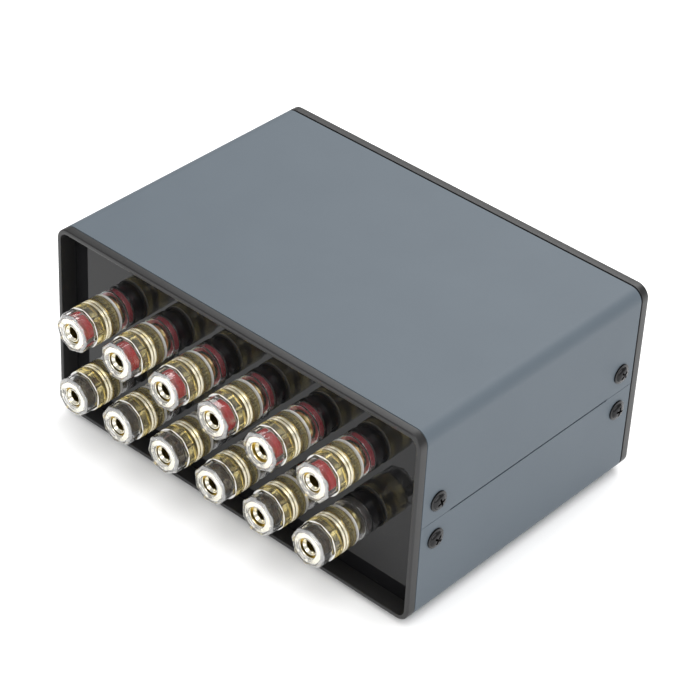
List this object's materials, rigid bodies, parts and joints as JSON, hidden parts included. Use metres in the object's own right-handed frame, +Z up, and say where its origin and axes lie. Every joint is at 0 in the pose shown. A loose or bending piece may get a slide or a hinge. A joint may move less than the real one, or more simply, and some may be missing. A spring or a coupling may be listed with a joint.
{
  "type": "loudspeaker selector switch",
  "caption": "Low rectangular metal case with a front rotary knob and two rows of clear-capped binding posts at the rear, for switching an amplifier between sets of loudspeakers.",
  "frame": {"origin": "on the plane that the feet stand on, under the middle of the case", "axes": "+Z up, +Y towards the rear panel with the binding posts, -Y towards the knob, +X to the left of someone who faces the rear panel"},
  "size_m": [0.153, 0.139, 0.072],
  "materials": {
    "blue_grey_paint": "fine satin enamel",
    "black_moulding": "satin moulded",
    "gloss_black_panel": "polished acrylic",
    "black_screw": "black zinc",
    "rubber": "matte",
    "gold_plated_brass": "gold plated",
    "clear_polycarbonate": "clear, polished",
    "red_marker": "satin",
    "dark_marker": "satin",
    "nickel_plated_brass": "nickel plated",
    "wafer_laminate": "phenolic laminate",
    "tinned_contact": "tinned",
    "wire_sleeve": "PVC sleeve",
    "rotor_plastic": "moulded",
    "knob_plastic": "satin moulded"
  },
  "bodies": {
    "case": {"top_cover": "blue_grey_paint", "bottom_cover": "blue_grey_paint", "rear_bezel": "black_moulding", "front_bezel": "black_moulding", "rear_panel": "gloss_black_panel", "front_panel": "gloss_black_panel", "cover_screws": "black_screw", "rubber_feet": "rubber", "terminal_stems": "gold_plated_brass", "terminal_collars": "clear_polycarbonate", "marker_washers_red": "red_marker", "marker_washers_black": "dark_marker", "terminal_nuts": "nickel_plated_brass", "switch_frame": "nickel_plated_brass", "switch_wafers": "wafer_laminate", "switch_lugs": "tinned_contact", "switch_tie_screws": "nickel_plated_brass", "bush_nut": "nickel_plated_brass", "hookup_wires": "wire_sleeve"},
    "selector": {"switch_shaft": "nickel_plated_brass", "switch_rotors": "rotor_plastic", "knob": "knob_plastic"},
    "ring_upper_1": {"marker_ring_upper_1": "red_marker"},
    "cap_upper_1": {"cap_shell_upper_1": "clear_polycarbonate", "cap_insert_upper_1": "gold_plated_brass"},
    "ring_upper_2": {"marker_ring_upper_2": "red_marker"},
    "cap_upper_2": {"cap_shell_upper_2": "clear_polycarbonate", "cap_insert_upper_2": "gold_plated_brass"},
    "ring_upper_3": {"marker_ring_upper_3": "red_marker"},
    "cap_upper_3": {"cap_shell_upper_3": "clear_polycarbonate", "cap_insert_upper_3": "gold_plated_brass"},
    "ring_upper_4": {"marker_ring_upper_4": "red_marker"},
    "cap_upper_4": {"cap_shell_upper_4": "clear_polycarbonate", "cap_insert_upper_4": "gold_plated_brass"},
    "ring_upper_5": {"marker_ring_upper_5": "red_marker"},
    "cap_upper_5": {"cap_shell_upper_5": "clear_polycarbonate", "cap_insert_upper_5": "gold_plated_brass"},
    "ring_upper_6": {"marker_ring_upper_6": "red_marker"},
    "cap_upper_6": {"cap_shell_upper_6": "clear_polycarbonate", "cap_insert_upper_6": "gold_plated_brass"},
    "ring_lower_1": {"marker_ring_lower_1": "dark_marker"},
    "cap_lower_1": {"cap_shell_lower_1": "clear_polycarbonate", "cap_insert_lower_1": "gold_plated_brass"},
    "ring_lower_2": {"marker_ring_lower_2": "dark_marker"},
    "cap_lower_2": {"cap_shell_lower_2": "clear_polycarbonate", "cap_insert_lower_2": "gold_plated_brass"},
    "ring_lower_3": {"marker_ring_lower_3": "dark_marker"},
    "cap_lower_3": {"cap_shell_lower_3": "clear_polycarbonate", "cap_insert_lower_3": "gold_plated_brass"},
    "ring_lower_4": {"marker_ring_lower_4": "dark_marker"},
    "cap_lower_4": {"cap_shell_lower_4": "clear_polycarbonate", "cap_insert_lower_4": "gold_plated_brass"},
    "ring_lower_5": {"marker_ring_lower_5": "dark_marker"},
    "cap_lower_5": {"cap_shell_lower_5": "clear_polycarbonate", "cap_insert_lower_5": "gold_plated_brass"},
    "ring_lower_6": {"marker_ring_lower_6": "dark_marker"},
    "cap_lower_6": {"cap_shell_lower_6": "clear_polycarbonate", "cap_insert_lower_6": "gold_plated_brass"}
  },
  "joints": [
    {"name": "selector_turn", "type": "hinge", "parent": "case", "child": "selector", "pos_m": [0, -0.0478, 0.037], "axis": [0, 1, 0], "range_deg": [-30, 30]},
    {"name": "cap_travel_upper_1", "type": "slide", "parent": "case", "child": "ring_upper_1", "axis": [0, 1, 0], "range_m": [-0.00175, 0.0064]},
    {"name": "cap_turn_upper_1", "type": "hinge", "parent": "ring_upper_1", "child": "cap_upper_1", "pos_m": [0.0531, 0.0478, 0.0492], "axis": [0, 1, 0], "range_deg": [-637.2, 2311.2]},
    {"name": "cap_travel_upper_2", "type": "slide", "parent": "case", "child": "ring_upper_2", "axis": [0, 1, 0], "range_m": [-0.00215, 0.006]},
    {"name": "cap_turn_upper_2", "type": "hinge", "parent": "ring_upper_2", "child": "cap_upper_2", "pos_m": [0.0329, 0.0478, 0.0492], "axis": [0, 1, 0], "range_deg": [-781.2, 2167.2]},
    {"name": "cap_travel_upper_3", "type": "slide", "parent": "case", "child": "ring_upper_3", "axis": [0, 1, 0], "range_m": [-0.00225, 0.0059]},
    {"name": "cap_turn_upper_3", "type": "hinge", "parent": "ring_upper_3", "child": "cap_upper_3", "pos_m": [0.0127, 0.0478, 0.0492], "axis": [0, 1, 0], "range_deg": [-817.2, 2131.2]},
    {"name": "cap_travel_upper_4", "type": "slide", "parent": "case", "child": "ring_upper_4", "axis": [0, 1, 0], "range_m": [-0.00195, 0.0062]},
    {"name": "cap_turn_upper_4", "type": "hinge", "parent": "ring_upper_4", "child": "cap_upper_4", "pos_m": [-0.0075, 0.0478, 0.0492], "axis": [0, 1, 0], "range_deg": [-709.2, 2239.2]},
    {"name": "cap_travel_upper_5", "type": "slide", "parent": "case", "child": "ring_upper_5", "axis": [0, 1, 0], "range_m": [-0.00265, 0.0055]},
    {"name": "cap_turn_upper_5", "type": "hinge", "parent": "ring_upper_5", "child": "cap_upper_5", "pos_m": [-0.0277, 0.0478, 0.0492], "axis": [0, 1, 0], "range_deg": [-961.2, 1987.2]},
    {"name": "cap_travel_upper_6", "type": "slide", "parent": "case", "child": "ring_upper_6", "axis": [0, 1, 0], "range_m": [-0.00195, 0.0062]},
    {"name": "cap_turn_upper_6", "type": "hinge", "parent": "ring_upper_6", "child": "cap_upper_6", "pos_m": [-0.0479, 0.0478, 0.0492], "axis": [0, 1, 0], "range_deg": [-709.2, 2239.2]},
    {"name": "cap_travel_lower_1", "type": "slide", "parent": "case", "child": "ring_lower_1", "axis": [0, 1, 0], "range_m": [-0.00175, 0.0064]},
    {"name": "cap_turn_lower_1", "type": "hinge", "parent": "ring_lower_1", "child": "cap_lower_1", "pos_m": [0.0531, 0.0478, 0.0246], "axis": [0, 1, 0], "range_deg": [-637.2, 2311.2]},
    {"name": "cap_travel_lower_2", "type": "slide", "parent": "case", "child": "ring_lower_2", "axis": [0, 1, 0], "range_m": [-0.00205, 0.0061]},
    {"name": "cap_turn_lower_2", "type": "hinge", "parent": "ring_lower_2", "child": "cap_lower_2", "pos_m": [0.0329, 0.0478, 0.0246], "axis": [0, 1, 0], "range_deg": [-745.2, 2203.2]},
    {"name": "cap_travel_lower_3", "type": "slide", "parent": "case", "child": "ring_lower_3", "axis": [0, 1, 0], "range_m": [-0.00205, 0.0061]},
    {"name": "cap_turn_lower_3", "type": "hinge", "parent": "ring_lower_3", "child": "cap_lower_3", "pos_m": [0.0127, 0.0478, 0.0246], "axis": [0, 1, 0], "range_deg": [-745.2, 2203.2]},
    {"name": "cap_travel_lower_4", "type": "slide", "parent": "case", "child": "ring_lower_4", "axis": [0, 1, 0], "range_m": [-0.00225, 0.0059]},
    {"name": "cap_turn_lower_4", "type": "hinge", "parent": "ring_lower_4", "child": "cap_lower_4", "pos_m": [-0.0075, 0.0478, 0.0246], "axis": [0, 1, 0], "range_deg": [-817.2, 2131.2]},
    {"name": "cap_travel_lower_5", "type": "slide", "parent": "case", "child": "ring_lower_5", "axis": [0, 1, 0], "range_m": [-0.00255, 0.0056]},
    {"name": "cap_turn_lower_5", "type": "hinge", "parent": "ring_lower_5", "child": "cap_lower_5", "pos_m": [-0.0277, 0.0478, 0.0246], "axis": [0, 1, 0], "range_deg": [-925.2, 2023.2]},
    {"name": "cap_travel_lower_6", "type": "slide", "parent": "case", "child": "ring_lower_6", "axis": [0, 1, 0], "range_m": [-0.00235, 0.0058]},
    {"name": "cap_turn_lower_6", "type": "hinge", "parent": "ring_lower_6", "child": "cap_lower_6", "pos_m": [-0.0479, 0.0478, 0.0246], "axis": [0, 1, 0], "range_deg": [-853.2, 2095.2]}
  ],
  "couplings": [
    {"joint": "cap_turn_upper_1", "follows": "cap_travel_upper_1", "rad_per_m": 6283.2},
    {"joint": "cap_turn_upper_2", "follows": "cap_travel_upper_2", "rad_per_m": 6283.2},
    {"joint": "cap_turn_upper_3", "follows": "cap_travel_upper_3", "rad_per_m": 6283.2},
    {"joint": "cap_turn_upper_4", "follows": "cap_travel_upper_4", "rad_per_m": 6283.2},
    {"joint": "cap_turn_upper_5", "follows": "cap_travel_upper_5", "rad_per_m": 6283.2},
    {"joint": "cap_turn_upper_6", "follows": "cap_travel_upper_6", "rad_per_m": 6283.2},
    {"joint": "cap_turn_lower_1", "follows": "cap_travel_lower_1", "rad_per_m": 6283.2},
    {"joint": "cap_turn_lower_2", "follows": "cap_travel_lower_2", "rad_per_m": 6283.2},
    {"joint": "cap_turn_lower_3", "follows": "cap_travel_lower_3", "rad_per_m": 6283.2},
    {"joint": "cap_turn_lower_4", "follows": "cap_travel_lower_4", "rad_per_m": 6283.2},
    {"joint": "cap_turn_lower_5", "follows": "cap_travel_lower_5", "rad_per_m": 6283.2},
    {"joint": "cap_turn_lower_6", "follows": "cap_travel_lower_6", "rad_per_m": 6283.2}
  ]
}
